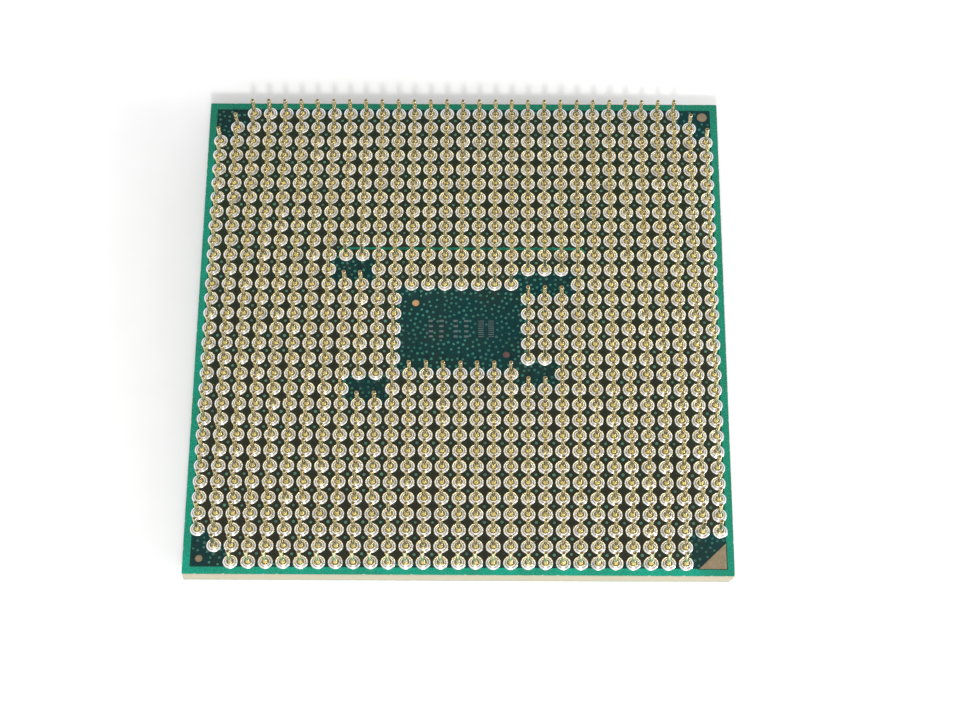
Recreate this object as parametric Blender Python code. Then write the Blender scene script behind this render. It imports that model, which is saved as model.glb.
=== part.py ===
"""A lidded pin grid processor, lying on its heat spreader lid with its pins up.

Metres, +Z up. The origin is the centre of the lid's flat outer face, which is the lowest
face of the part. +Z points out of the pin side. The marked corner is at +X, -Y.

From the bottom up: lid, with a pocket that holds the thermal layer, the die in its
underfill and the capacitors; seal; solder mask; laminate core; solder mask; pins.
"""

import math

import bmesh
import bpy
from mathutils import Matrix

MM = 0.001
GAP = 0.01 * MM  # between pieces that lie on each other

# Pin grid
PITCH = 1.27 * MM
SITES = 31  # along each side of the grid
PIN_WIDTH = 0.305 * MM
PIN_LENGTH = 2.0 * MM  # above the solder mask
WEB_THICKNESS = 0.05 * MM  # the strip that joins a row's pins, in place of their solder
ROW_LETTERS = "A B C D E F G H J K L M N P R T U V W Y AA AB AC AD AE AF AG AH AJ AK AL".split()

# Grid sites without a pin: row, first column and last column, counted from 1 at the near
# edge and at the left edge.
EMPTY_CORNER_SITES = [
    (1, 1, 2), (2, 1, 1), (1, 30, 31), (2, 30, 31),
    (31, 1, 2), (30, 1, 1), (31, 30, 31), (30, 31, 31),
]
EMPTY_KEY_SITES = [(12, 10, 11), (13, 20, 21), (19, 20, 22), (20, 9, 10)]
EMPTY_CENTRE_SITES = [(row, 13, 19) for row in range(14, 19)]
WIDEST_WEB_SPAN = 3  # pitches that a web may run between two pins

# Substrate
BODY = 40.0 * MM
SUBSTRATE_THICKNESS = 1.15 * MM
MASK_THICKNESS = 0.025 * MM
BODY_CORNER_RADIUS = 0.12 * MM
BORDER = 0.56 * MM  # from the edge of the body to the corner of the triangle
TRIANGLE_LEG = 2.0 * MM
MARK_THICKNESS = 0.015 * MM
FIDUCIALS = {  # centre and diameter
    "fiducial_far_right": (18.81 * MM, 18.81 * MM, 0.77 * MM),
    "fiducial_near_left": (-18.81 * MM, -18.81 * MM, 0.53 * MM),
    "fiducial_centre_left": (-3.45 * MM, 2.19 * MM, 0.53 * MM),
    "fiducial_centre_right": (3.45 * MM, -2.19 * MM, 0.50 * MM),
}

# Lid and seal
LID_WIDTH = 37.4 * MM
LID_HEIGHT = 2.95 * MM
LID_CORNER_RADIUS = 1.2 * MM
LID_EDGE_BEVEL = 0.25 * MM
POCKET_WIDTH = 29.4 * MM
POCKET_DEPTH = 0.90 * MM
POCKET_CORNER_RADIUS = 2.0 * MM
SEAL_SPACE = 0.10 * MM  # between the lid's rim and the substrate
SEAL_OUTER_WIDTH = 35.8 * MM
SEAL_INNER_WIDTH = 31.0 * MM
SEAL_VENT_WIDTH = 3.0 * MM

# Die stack
DIE_LENGTH = 13.6 * MM
DIE_WIDTH = 10.4 * MM
DIE_THICKNESS = 0.79 * MM
THERMAL_THICKNESS = 0.07 * MM
THERMAL_OVERHANG = 0.4 * MM
UNDERFILL_FOOT = 1.1 * MM  # how far the fillet reaches past the die at the substrate
UNDERFILL_LIP = 0.15 * MM  # and at its other end
UNDERFILL_RISE = 0.55 * MM

# Capacitors beside the die
CAPACITOR_LENGTH = 1.6 * MM
CAPACITOR_WIDTH = 0.8 * MM
CAPACITOR_HEIGHT = 0.55 * MM
TERMINAL_LENGTH = 0.3 * MM
TERMINAL_STEP = 0.03 * MM
CAPACITOR_SPACING = 3.2 * MM
CAPACITOR_SIDE_X = 11.2 * MM
CAPACITOR_END_Y = 9.8 * MM

# Levels
SEAL_FLOOR = LID_HEIGHT + GAP
SUBSTRATE_FLOOR = LID_HEIGHT + SEAL_SPACE
CORE_FLOOR = SUBSTRATE_FLOOR + MASK_THICKNESS + GAP
PIN_SIDE = SUBSTRATE_FLOOR + SUBSTRATE_THICKNESS
CORE_TOP = PIN_SIDE - MASK_THICKNESS - GAP
POCKET_FLOOR = LID_HEIGHT - POCKET_DEPTH
THERMAL_FLOOR = POCKET_FLOOR + GAP
DIE_FLOOR = THERMAL_FLOOR + THERMAL_THICKNESS + GAP
DIE_TOP = DIE_FLOOR + DIE_THICKNESS
UNDERSIDE = SUBSTRATE_FLOOR - GAP  # where the die side pieces meet the substrate

CUT_MARGIN = 0.5 * MM  # how far a cutter runs past the face that it opens


def clear_scene():
    for obj in list(bpy.data.objects):
        bpy.data.objects.remove(obj, do_unlink=True)


def new_collection(name):
    collection = bpy.data.collections.new(name)
    bpy.context.scene.collection.children.link(collection)
    return collection


def make_material(name, colour, roughness, metallic=0.0):
    material = bpy.data.materials.new(name)
    material.use_nodes = True
    shader = material.node_tree.nodes["Principled BSDF"]
    shader.inputs["Base Color"].default_value = (*colour, 1.0)
    shader.inputs["Roughness"].default_value = roughness
    shader.inputs["Metallic"].default_value = metallic
    return material


def mesh_object(name, bm, location):
    bmesh.ops.recalc_face_normals(bm, faces=bm.faces)
    mesh = bpy.data.meshes.new(name)
    bm.to_mesh(mesh)
    bm.free()
    obj = bpy.data.objects.new(name, mesh)
    obj.location = location
    return obj


def block_mesh(width, depth, height, corner_radius=0.0, segments=4):
    """A block standing on z = 0, centred in plan, with its upright edges rounded."""
    bm = bmesh.new()
    bmesh.ops.create_cube(bm, size=1.0, matrix=Matrix.Translation((0, 0, 0.5)))
    bmesh.ops.scale(bm, vec=(width, depth, height), verts=bm.verts)
    if corner_radius:
        upright = [e for e in bm.edges if abs(e.verts[0].co.z - e.verts[1].co.z) > height / 2]
        bmesh.ops.bevel(
            bm, geom=upright, offset=corner_radius, segments=segments, profile=0.5,
            affect="EDGES",
        )
    return bm


def block(name, width, depth, floor, top, corner_radius=0.0, x=0.0, y=0.0):
    return mesh_object(
        name, block_mesh(width, depth, top - floor, corner_radius), (x, y, floor)
    )


def disc(name, diameter, floor, top, x, y):
    bm = bmesh.new()
    bmesh.ops.create_cone(
        bm, cap_ends=True, segments=32, radius1=diameter / 2, radius2=diameter / 2,
        depth=top - floor,
    )
    obj = mesh_object(name, bm, (x, y, (floor + top) / 2))
    obj.data.shade_smooth()
    obj.data.set_sharp_from_angle(angle=math.radians(40))
    return obj


def flat_outline(name, points, thickness):
    """A filled outline in its local XY plane, as thick as asked along its local Z."""
    curve = bpy.data.curves.new(name, "CURVE")
    curve.dimensions = "2D"
    curve.fill_mode = "BOTH"
    curve.extrude = thickness / 2
    spline = curve.splines.new("POLY")
    spline.points.add(len(points) - 1)
    for point, (x, y) in zip(spline.points, points):
        point.co = (x, y, 0.0, 1.0)
    spline.use_cyclic_u = True
    return bpy.data.objects.new(name, curve)


class Assembly:
    """The part's objects in one collection, and the shapes that cut them in another."""

    def __init__(self, name):
        self.parts = new_collection(name)
        self.cutters = new_collection(name + "_cutters")

    def add(self, obj, material):
        self.parts.objects.link(obj)
        obj.data.materials.append(material)
        return obj

    def change(self, obj, tool, operation):
        tool.name = f"{operation.lower()}_{obj.name}"
        tool.hide_render = True
        tool.display_type = "WIRE"
        self.cutters.objects.link(tool)
        boolean = obj.modifiers.new(operation.title(), "BOOLEAN")
        boolean.operation = operation
        boolean.solver = "EXACT"
        boolean.object = tool

    def cut(self, obj, tool):
        self.change(obj, tool, "DIFFERENCE")

    def join(self, obj, tool):
        self.change(obj, tool, "UNION")


def add_lid(assembly):
    bm = block_mesh(LID_WIDTH, LID_WIDTH, LID_HEIGHT, LID_CORNER_RADIUS)
    outer_rim = [e for e in bm.edges if all(v.co.z < LID_HEIGHT / 2 for v in e.verts)]
    bmesh.ops.bevel(
        bm, geom=outer_rim, offset=LID_EDGE_BEVEL, segments=2, profile=0.5, affect="EDGES"
    )
    nickel = make_material("nickel_plated_copper", (0.62, 0.60, 0.57), 0.32, 1.0)
    lid = assembly.add(mesh_object("heat_spreader_lid", bm, (0, 0, 0)), nickel)
    assembly.cut(lid, block(
        "pocket", POCKET_WIDTH, POCKET_WIDTH, POCKET_FLOOR, LID_HEIGHT + CUT_MARGIN,
        POCKET_CORNER_RADIUS,
    ))


def add_seal(assembly):
    """The adhesive bead under the lid's rim, left open on one side as a vent."""
    sealant = make_material("sealant", (0.12, 0.12, 0.13), 0.6)
    top = UNDERSIDE
    seal = assembly.add(block(
        "lid_seal", SEAL_OUTER_WIDTH, SEAL_OUTER_WIDTH, SEAL_FLOOR, top, LID_CORNER_RADIUS
    ), sealant)
    low = SEAL_FLOOR - CUT_MARGIN
    high = top + CUT_MARGIN
    assembly.cut(seal, block(
        "inside", SEAL_INNER_WIDTH, SEAL_INNER_WIDTH, low, high, POCKET_CORNER_RADIUS
    ))
    bead_width = (SEAL_OUTER_WIDTH - SEAL_INNER_WIDTH) / 2
    assembly.cut(seal, block(
        "vent", SEAL_VENT_WIDTH, bead_width + 2 * CUT_MARGIN, low, high,
        y=(SEAL_OUTER_WIDTH - bead_width) / 2,
    ))


def add_die_stack(assembly):
    indium = make_material("thermal_solder", (0.66, 0.67, 0.68), 0.4, 1.0)
    assembly.add(block(
        "thermal_interface", DIE_LENGTH + 2 * THERMAL_OVERHANG, DIE_WIDTH + 2 * THERMAL_OVERHANG,
        THERMAL_FLOOR, THERMAL_FLOOR + THERMAL_THICKNESS, THERMAL_OVERHANG,
    ), indium)
    silicon = make_material("silicon", (0.16, 0.17, 0.20), 0.12, 0.6)
    assembly.add(block("silicon_die", DIE_LENGTH, DIE_WIDTH, DIE_FLOOR, DIE_TOP), silicon)
    add_underfill(assembly)


def add_underfill(assembly):
    """Epoxy between die and substrate, with a sloping fillet round the die's edge."""
    bm = bmesh.new()
    bmesh.ops.create_cube(bm, size=1.0, matrix=Matrix.Translation((0, 0, 0.5)))
    height = UNDERSIDE - DIE_TOP + UNDERFILL_RISE
    for vert in bm.verts:
        reach = UNDERFILL_FOOT if vert.co.z > 0.5 else UNDERFILL_LIP
        vert.co.x *= DIE_LENGTH + 2 * reach
        vert.co.y *= DIE_WIDTH + 2 * reach
        vert.co.z *= height
    epoxy = make_material("underfill_epoxy", (0.05, 0.055, 0.07), 0.35)
    underfill = assembly.add(
        mesh_object("die_underfill", bm, (0, 0, UNDERSIDE - height)), epoxy
    )
    assembly.cut(underfill, block(
        "die_seat", DIE_LENGTH + 2 * GAP, DIE_WIDTH + 2 * GAP,
        UNDERSIDE - height - CUT_MARGIN, DIE_TOP + GAP,
    ))


def capacitor_places():
    """Name, centre and quarter turns of each capacitor, three on each side of the die and
    two at each end."""
    for side, sign in (("left", -1), ("right", 1)):
        for number in (1, 2, 3):
            y = (number - 2) * CAPACITOR_SPACING
            yield f"capacitor_{side}_{number}", sign * CAPACITOR_SIDE_X, y, 1
    for side, sign in (("near", -1), ("far", 1)):
        for number in (1, 2):
            x = (number - 1.5) * CAPACITOR_SPACING
            yield f"capacitor_{side}_{number}", x, sign * CAPACITOR_END_Y, 0


def add_capacitors(assembly):
    ceramic = make_material("capacitor_ceramic", (0.42, 0.33, 0.24), 0.5)
    floor = UNDERSIDE - CAPACITOR_HEIGHT
    for name, x, y, quarter_turns in capacitor_places():
        body = block(
            name, CAPACITOR_LENGTH - TERMINAL_LENGTH, CAPACITOR_WIDTH - 2 * TERMINAL_STEP,
            floor + TERMINAL_STEP, UNDERSIDE - TERMINAL_STEP, x=x, y=y,
        )
        turn = quarter_turns * math.pi / 2
        body.rotation_euler.z = turn
        assembly.add(body, ceramic)
        for sign in (-1, 1):
            reach = sign * (CAPACITOR_LENGTH - TERMINAL_LENGTH) / 2
            terminal = block(
                "terminal", TERMINAL_LENGTH, CAPACITOR_WIDTH, floor, UNDERSIDE,
                x=x + reach * math.cos(turn), y=y + reach * math.sin(turn),
            )
            terminal.rotation_euler.z = turn
            assembly.join(body, terminal)


def triangle_points(grown):
    """The marked corner's right triangle, with its straight sides moved out by `grown`."""
    corner = BODY / 2 - BORDER + grown
    leg = TRIANGLE_LEG + (2 + math.sqrt(2)) * grown
    return [(corner, -corner), (corner, leg - corner), (corner - leg, -corner)]


def flat_marker(name, points, floor, top):
    obj = flat_outline(name, points, top - floor)
    obj.location.z = (floor + top) / 2
    return obj


def as_mesh(obj):
    """A mesh copy of a curve object, with its caps joined to its sides."""
    bpy.context.scene.collection.objects.link(obj)
    bpy.context.view_layer.update()
    evaluated = obj.evaluated_get(bpy.context.evaluated_depsgraph_get())
    mesh = bpy.data.meshes.new_from_object(evaluated)
    bm = bmesh.new()
    bm.from_mesh(mesh)
    bmesh.ops.remove_doubles(bm, verts=bm.verts, dist=GAP / 10)
    bm.to_mesh(mesh)
    bm.free()
    solid = bpy.data.objects.new(obj.name, mesh)
    solid.matrix_world = obj.matrix_world
    bpy.data.objects.remove(obj, do_unlink=True)
    return solid


def add_substrate(assembly):
    laminate = make_material("laminate", (0.72, 0.63, 0.46), 0.55)
    assembly.add(
        block("substrate_core", BODY, BODY, CORE_FLOOR, CORE_TOP, BODY_CORNER_RADIUS), laminate
    )
    green = make_material("solder_mask_green", (0.01, 0.12, 0.09), 0.35)
    assembly.add(block(
        "solder_mask_lid_side", BODY, BODY, SUBSTRATE_FLOOR, SUBSTRATE_FLOOR + MASK_THICKNESS,
        BODY_CORNER_RADIUS,
    ), green)
    mask_floor = PIN_SIDE - MASK_THICKNESS
    mask = assembly.add(
        block("solder_mask_pin_side", BODY, BODY, mask_floor, PIN_SIDE, BODY_CORNER_RADIUS),
        green,
    )
    bare_metal = make_material("bare_gold_marks", (0.45, 0.33, 0.18), 0.45, 0.8)
    low = mask_floor - CUT_MARGIN
    high = PIN_SIDE + CUT_MARGIN
    mark_floor = CORE_TOP + GAP
    mark_top = mark_floor + MARK_THICKNESS
    for name, (x, y, diameter) in FIDUCIALS.items():
        assembly.add(disc(name, diameter, mark_floor, mark_top, x, y), bare_metal)
        assembly.cut(mask, disc("opening", diameter + 2 * GAP, low, high, x, y))
    assembly.add(
        flat_marker("corner_triangle", triangle_points(0.0), mark_floor, mark_top), bare_metal
    )
    assembly.cut(mask, as_mesh(flat_marker("opening", triangle_points(GAP), low, high)))


def pin_columns(row):
    """The columns of a row that hold a pin."""
    empty = set()
    for empty_row, first, last in EMPTY_CORNER_SITES + EMPTY_KEY_SITES + EMPTY_CENTRE_SITES:
        if empty_row == row:
            empty.update(range(first, last + 1))
    return [column for column in range(1, SITES + 1) if column not in empty]


def runs_of(columns):
    """The row's pins, divided where the space between two of them is too wide for a web."""
    runs = [[columns[0]]]
    for before, column in zip(columns, columns[1:]):
        if column - before > WIDEST_WEB_SPAN:
            runs.append([])
        runs[-1].append(column)
    return runs


def site(number):
    """The distance of a row or column from the middle one."""
    return (number - (SITES + 1) / 2) * PITCH


def comb_points(columns):
    """A run of pins seen from the side: x along the row, y up from the solder mask."""
    half = PIN_WIDTH / 2
    length = PIN_LENGTH - GAP
    points = [(site(columns[0]) - half, 0.0), (site(columns[-1]) + half, 0.0)]
    for column in reversed(columns):
        x = site(column)
        if column != columns[-1]:
            points.append((x + half, WEB_THICKNESS))
        points += [(x + half, length), (x - half, length)]
        if column != columns[0]:
            points.append((x - half, WEB_THICKNESS))
    return points


def add_pin_rows(assembly):
    gold = make_material("gold_plated_pin", (0.83, 0.62, 0.28), 0.25, 1.0)
    for row, letters in enumerate(ROW_LETTERS, start=1):
        runs = runs_of(pin_columns(row))
        sides = ("_left", "_right") if len(runs) == 2 else ("",)
        for columns, side in zip(runs, sides):
            pins = flat_outline(f"pin_row_{letters}{side}", comb_points(columns), PIN_WIDTH)
            pins.rotation_euler.x = math.pi / 2
            pins.location = (0, site(row), PIN_SIDE + GAP)
            assembly.add(pins, gold)


def main():
    clear_scene()
    assembly = Assembly("pin_grid_processor")
    add_lid(assembly)
    add_seal(assembly)
    add_die_stack(assembly)
    add_capacitors(assembly)
    add_substrate(assembly)
    add_pin_rows(assembly)


main()
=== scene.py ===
"""The looks of a lidded pin grid processor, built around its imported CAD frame.

The part lies on its lid with its pins up. Sizes are in metres, as in the frame: the origin
is the centre of the lid's flat outer face, and the marked corner is at +X, -Y.
"""

import math
import random

import bmesh
import bpy
import numpy as np
from mathutils import Matrix, Vector


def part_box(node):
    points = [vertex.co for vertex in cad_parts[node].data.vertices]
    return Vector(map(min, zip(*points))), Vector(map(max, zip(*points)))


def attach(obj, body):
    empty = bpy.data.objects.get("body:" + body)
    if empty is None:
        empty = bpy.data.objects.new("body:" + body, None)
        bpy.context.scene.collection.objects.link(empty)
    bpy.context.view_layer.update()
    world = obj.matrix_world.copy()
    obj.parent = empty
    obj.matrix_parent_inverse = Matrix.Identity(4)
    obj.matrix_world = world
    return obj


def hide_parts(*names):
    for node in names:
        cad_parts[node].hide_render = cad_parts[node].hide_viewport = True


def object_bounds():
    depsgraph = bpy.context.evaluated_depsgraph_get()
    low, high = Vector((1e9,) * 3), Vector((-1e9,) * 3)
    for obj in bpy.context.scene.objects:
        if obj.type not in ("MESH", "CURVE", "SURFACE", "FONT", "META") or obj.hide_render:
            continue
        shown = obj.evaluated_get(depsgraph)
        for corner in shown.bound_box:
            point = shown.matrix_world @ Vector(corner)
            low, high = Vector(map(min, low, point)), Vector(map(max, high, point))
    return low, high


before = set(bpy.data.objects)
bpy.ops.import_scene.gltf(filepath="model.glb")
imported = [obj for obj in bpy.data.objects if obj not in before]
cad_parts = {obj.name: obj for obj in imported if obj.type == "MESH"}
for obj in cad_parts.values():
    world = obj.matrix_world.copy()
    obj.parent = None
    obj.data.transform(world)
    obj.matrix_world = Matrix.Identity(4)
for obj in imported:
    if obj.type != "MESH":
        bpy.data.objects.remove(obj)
CAD_LOW, CAD_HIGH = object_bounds()

MM = 0.001
MICRON = 1e-6

# Read from the frame
LID_LOW, LID_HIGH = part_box("heat_spreader_lid")
CORE_LOW, CORE_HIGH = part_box("substrate_core")
MASK_LOW, MASK_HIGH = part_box("solder_mask_pin_side")
UNDER_MASK_LOW, UNDER_MASK_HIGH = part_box("solder_mask_lid_side")
TRIANGLE_LOW, TRIANGLE_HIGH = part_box("corner_triangle")
SEAL_LOW, SEAL_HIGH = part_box("lid_seal")
DIE_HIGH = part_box("silicon_die")[1]
UNDERFILL_LOW, UNDERFILL_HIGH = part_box("die_underfill")
PIN_NODES = sorted(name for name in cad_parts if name.startswith("pin_row"))
CAPACITOR_NODES = sorted(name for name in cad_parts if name.startswith("capacitor"))
FIDUCIAL_NODES = sorted(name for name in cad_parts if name.startswith("fiducial"))
MARK_NODES = ["corner_triangle", *FIDUCIAL_NODES]
BODY = MASK_HIGH.x - MASK_LOW.x
PIN_SIDE = MASK_HIGH.z
PIN_TOP = CAD_HIGH.z

# The grid of pins
PITCH = 1.27 * MM
HALF_GRID = 15  # places from the middle of the grid to its edge

# Body and solder mask
BODY_CORNER = 0.12 * MM  # radius of the upright corners
MASK_EDGE = 5 * MICRON  # rounding of the mask's outer edge
COPPER_STEP = 12 * MICRON  # the mask stands this much higher over the copper plane
BORDER = BODY / 2 - TRIANGLE_HIGH.x  # bare laminate round the copper plane
OPENING_GAP = 8 * MICRON  # between a bare mark and the edge of its opening in the mask
RIM_WIDTH = 45 * MICRON
MARK_HEIGHT = 3 * MICRON  # what is printed or heaped on the mask stands this much above it
SLOT_WIDTH = 0.19 * MM  # of the line that splits the copper plane
DISC_SIDES = 32

# Pins and their joints
PIN_RADIUS = 0.1525 * MM
PIN_SIDES = 16
PIN_LEAN = 0.9  # degrees, which few pins exceed
END_RINGS = 2  # the last rings of a pin's profile, which are its cut end
JOINT_SIDES = 28
JOINT_RADIUS = 0.54 * MM
HEAD_RADIUS = 0.36 * MM
JOINT_WAVE = 0.012  # unevenness of a joint's outline, as a share of its radius
JOINT_SWELL = 0.06  # spread of the joints' heights, as a share of the height

# Vent holes in the copper plane
VENT_SHARE = 0.74  # of the grid cells between four pads, those that have a hole
VENT_SHIFT = 0.02 * MM  # how far off its cell's centre such a hole is
VENT_RADII = (0.095 * MM, 0.125 * MM)
LOOSE_VENT_RADII = (0.085 * MM, 0.115 * MM)
LOOSE_VENT_TRIES = 40000
VENT_SIDES = 14

# The least room from the centre of a loose vent hole
PAD_ROOM = 0.10 * MM  # to a pad's edge
FIDUCIAL_ROOM = 0.62 * MM  # to a fiducial's centre
TRIANGLE_ROOM = 2.25 * MM  # leg of the triangle that is kept clear in the marked corner
SLOT_ROOM = 0.28 * MM  # to the middle of the line that splits the copper plane
VENT_ROOM = 0.35 * MM  # to another hole's centre
INK_ROOM = (0.10 * MM, 0.15 * MM)  # to the ink marks, along X and Y

# Columns of small marks in the central gap: centre, number of marks, width, share of ink
MARK_COLUMNS = [
    (-2.28 * MM, 4, 0.34 * MM, 0.55), (-1.48 * MM, 4, 0.36 * MM, 0.55),
    (-0.39 * MM, 4, 0.36 * MM, 0.55), (0.42 * MM, 4, 0.36 * MM, 0.55),
    (1.53 * MM, 9, 0.44 * MM, 0.40), (2.29 * MM, 9, 0.44 * MM, 0.40),
]
MARKS_HALF_HEIGHT = 0.66 * MM

# Stage, light and camera
SURROUNDINGS = 1.05  # brightness of the world
CEILING = 0.12  # brightness of its dark part
CEILING_TILT = math.radians(22)  # from straight up towards the far side
CEILING_EDGE = (0.70, 0.88)  # cosine of the angle off its middle where the ceiling fades out
MAIN_LIGHT_PLACE = (2 * MM, -118 * MM, PIN_SIDE + 158 * MM)
FILL_LIGHT_PLACE = (190 * MM, -60 * MM, 90 * MM)
CAMERA_PLACE = (3.117 * MM, -89.109 * MM, PIN_SIDE + 173.341 * MM)
CAMERA_TURN = (26.514, 0.333, 0.425)  # degrees about X, Y and Z
LENS = 96.55  # focal length in millimetres
SENSOR = 36.0  # width in millimetres
FLOOR_HALF = 1.0  # half of the floor's width

# ---------------------------------------------------------------- materials

EVENLY = (1.0, 1.0, 1.0)


class Look:
    """A Principled material, with short ways to vary it by noise in the part's own frame."""

    def __init__(self, name, **constants):
        self.material = bpy.data.materials.new(name)
        self.material.use_nodes = True
        self.tree = self.material.node_tree
        self.shader = self.tree.nodes["Principled BSDF"]
        for socket, value in constants.items():
            self.shader.inputs[socket.replace("_", " ")].default_value = value
        self.normal = None

    def node(self, kind, inputs=None, **settings):
        """A new node, each of whose inputs is linked to a socket or set to a value."""
        node = self.tree.nodes.new(kind)
        for name, value in settings.items():
            setattr(node, name, value)
        for key, value in (inputs or {}).items():
            if isinstance(value, bpy.types.NodeSocket):
                self.tree.links.new(value, node.inputs[key])
            else:
                node.inputs[key].default_value = value
        return node

    def place(self, squeeze=EVENLY):
        """The point's place. Squeeze is along X, Y and Z, and under 1 it draws things out."""
        where = self.node("ShaderNodeTexCoord").outputs["Object"]
        if squeeze == EVENLY:
            return where
        return self.node("ShaderNodeMapping", {"Vector": where, "Scale": squeeze}).outputs[0]

    def noise(self, feature, detail=3.0, squeeze=EVENLY, distortion=0.0):
        """Noise, mostly from 0.3 to 0.7, whose lumps are about `feature` metres wide."""
        return self.node("ShaderNodeTexNoise", {
            "Vector": self.place(squeeze), "Scale": 1.0 / feature, "Detail": detail,
            "Distortion": distortion,
        }).outputs["Fac"]

    def spread(self, value, low, high, to_low=0.0, to_high=1.0):
        """`value`, clamped to low..high and spread over to_low..to_high."""
        return self.node("ShaderNodeMapRange", {
            "Value": value, "From Min": low, "From Max": high, "To Min": to_low,
            "To Max": to_high,
        }).outputs[0]

    def maths(self, operation, *values):
        return self.node(
            "ShaderNodeMath", dict(enumerate(values)), operation=operation
        ).outputs[0]

    def axis(self, name):
        split = self.node("ShaderNodeSeparateXYZ", {0: self.place()})
        return split.outputs[name]

    def blend(self, share, first, second):
        """A colour that goes from first to second as share goes from 0 to 1."""
        as_colour = [c if isinstance(c, bpy.types.NodeSocket) else (*c, 1.0)
                     for c in (first, second)]
        mix = self.node(
            "ShaderNodeMix", {0: share, 6: as_colour[0], 7: as_colour[1]}, data_type="RGBA"
        )
        return mix.outputs[2]

    def colour(self, socket):
        self.tree.links.new(socket, self.shader.inputs["Base Color"])

    def roughness(self, socket):
        self.tree.links.new(socket, self.shader.inputs["Roughness"])

    def rough_by(self, noise, low, high):
        """Roughness from low to high, as the noise goes."""
        self.roughness(self.spread(noise, 0.3, 0.7, low, high))

    def bump(self, height, depth, strength):
        """Relief on top of any that the look already has."""
        inputs = {"Height": height, "Distance": depth, "Strength": strength}
        if self.normal is not None:
            inputs["Normal"] = self.normal
        self.normal = self.node("ShaderNodeBump", inputs).outputs[0]
        self.tree.links.new(self.normal, self.shader.inputs["Normal"])


def grained_look(name, grain, tones, rough, relief, strength=0.6, **constants):
    """A material whose tone, roughness and relief all follow one noise, made from grain."""
    look = Look(name, **constants)
    noise = look.noise(*grain)
    look.colour(look.blend(noise, *tones))
    look.rough_by(noise, *rough)
    look.bump(noise, relief, strength)
    return look.material


def gold_look():
    look = Look("gold_plate", Metallic=1.0)
    tone = look.blend(look.noise(0.5 * MM, 2.0), (0.91, 0.82, 0.50), (0.83, 0.72, 0.40))
    pale = look.spread(look.noise(1.9 * MM, 1.0), 0.45, 0.7)
    tone = look.blend(pale, tone, (0.94, 0.87, 0.64))
    # Painted shade: the pins are darker and a deeper yellow towards their feet, down among the
    # other pins.
    low = look.spread(look.axis("Z"), PIN_SIDE + 0.1 * MM, PIN_SIDE + 1.1 * MM, 1.0, 0.0)
    look.colour(look.blend(low, tone, (0.86, 0.75, 0.36)))
    look.rough_by(look.noise(0.25 * MM, 3.0), 0.19, 0.29)
    drawn = look.noise(0.12 * MM, 1.0, squeeze=(1.0, 1.0, 0.1))
    look.bump(drawn, 1.0 * MICRON, 0.08)
    return look.material


def pin_end_look():
    """The cut end of a pin, where the core metal shows between remains of the plating."""
    return grained_look(
        "pin_end", grain=(0.04 * MM, 4.0), tones=((0.20, 0.13, 0.06), (0.42, 0.29, 0.12)),
        rough=(0.4, 0.6), relief=4 * MICRON, Metallic=1.0,
    )


def solder_look():
    look = Look("solder", Metallic=1.0)
    cloud = look.noise(0.25 * MM, 3.0)
    tone = look.blend(cloud, (0.87, 0.86, 0.845), (0.80, 0.79, 0.765))
    tinge = look.spread(look.noise(1.1 * MM, 2.0), 0.52, 0.75)
    look.colour(look.blend(tinge, tone, (0.84, 0.78, 0.72)))
    look.rough_by(cloud, 0.15, 0.24)
    look.bump(look.noise(0.12 * MM, 2.0), 4 * MICRON, 0.35)
    return look.material


def shade_and_reflection_look():
    """Painted shade and painted reflection of the pins on the mask between the pads, browner on
    the near side and greener towards the far side.
    """
    look = Look("painted_shade_between_pads", IOR=1.5)
    cloud = look.noise(2.6 * MM, 4.0)
    drift = look.maths("ADD", look.axis("Y"), look.spread(cloud, 0.38, 0.62, -9 * MM, 9 * MM))
    tone = look.blend(
        look.spread(drift, -16 * MM, 20 * MM), (0.026, 0.025, 0.017), (0.020, 0.030, 0.017)
    )
    weave = look.noise(0.16 * MM, 3.0)
    tone = look.blend(look.spread(weave, 0.50, 0.80, 0.0, 0.6), tone, (0.020, 0.044, 0.036))
    look.colour(tone)
    look.rough_by(weave, 0.16, 0.28)
    look.bump(weave, 3 * MICRON, 0.4)
    return look.material


def edge_distance(look):
    """How far a point is from the body's nearest side face."""
    across = look.maths("ABSOLUTE", look.axis("X"))
    along = look.maths("ABSOLUTE", look.axis("Y"))
    return look.maths("SUBTRACT", BODY / 2, look.maths("MAXIMUM", across, along))


def mask_over_copper_look():
    look = Look("mask_over_copper", IOR=1.5)
    cloud = look.spread(look.noise(2.6 * MM, 4.0), 0.38, 0.62)
    weave = look.noise(0.16 * MM, 3.0)
    base = look.blend(cloud, (0.003, 0.033, 0.035), (0.009, 0.028, 0.025))
    fine = look.blend(look.spread(weave, 0.50, 0.80, 0.0, 0.6), base, (0.012, 0.052, 0.048))
    scratch = look.noise(0.05 * MM, 2.0, squeeze=(1.0, 0.06, 1.0), distortion=0.6)
    worn = look.spread(scratch, 0.70, 0.78, 0.0, 0.5)
    look.colour(look.blend(worn, fine, (0.08, 0.15, 0.14)))
    look.rough_by(weave, 0.16, 0.28)
    look.bump(weave, 3 * MICRON, 0.4)
    look.bump(look.noise(0.9 * MM, 2.0), 8 * MICRON, 0.3)
    return look.material


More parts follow.
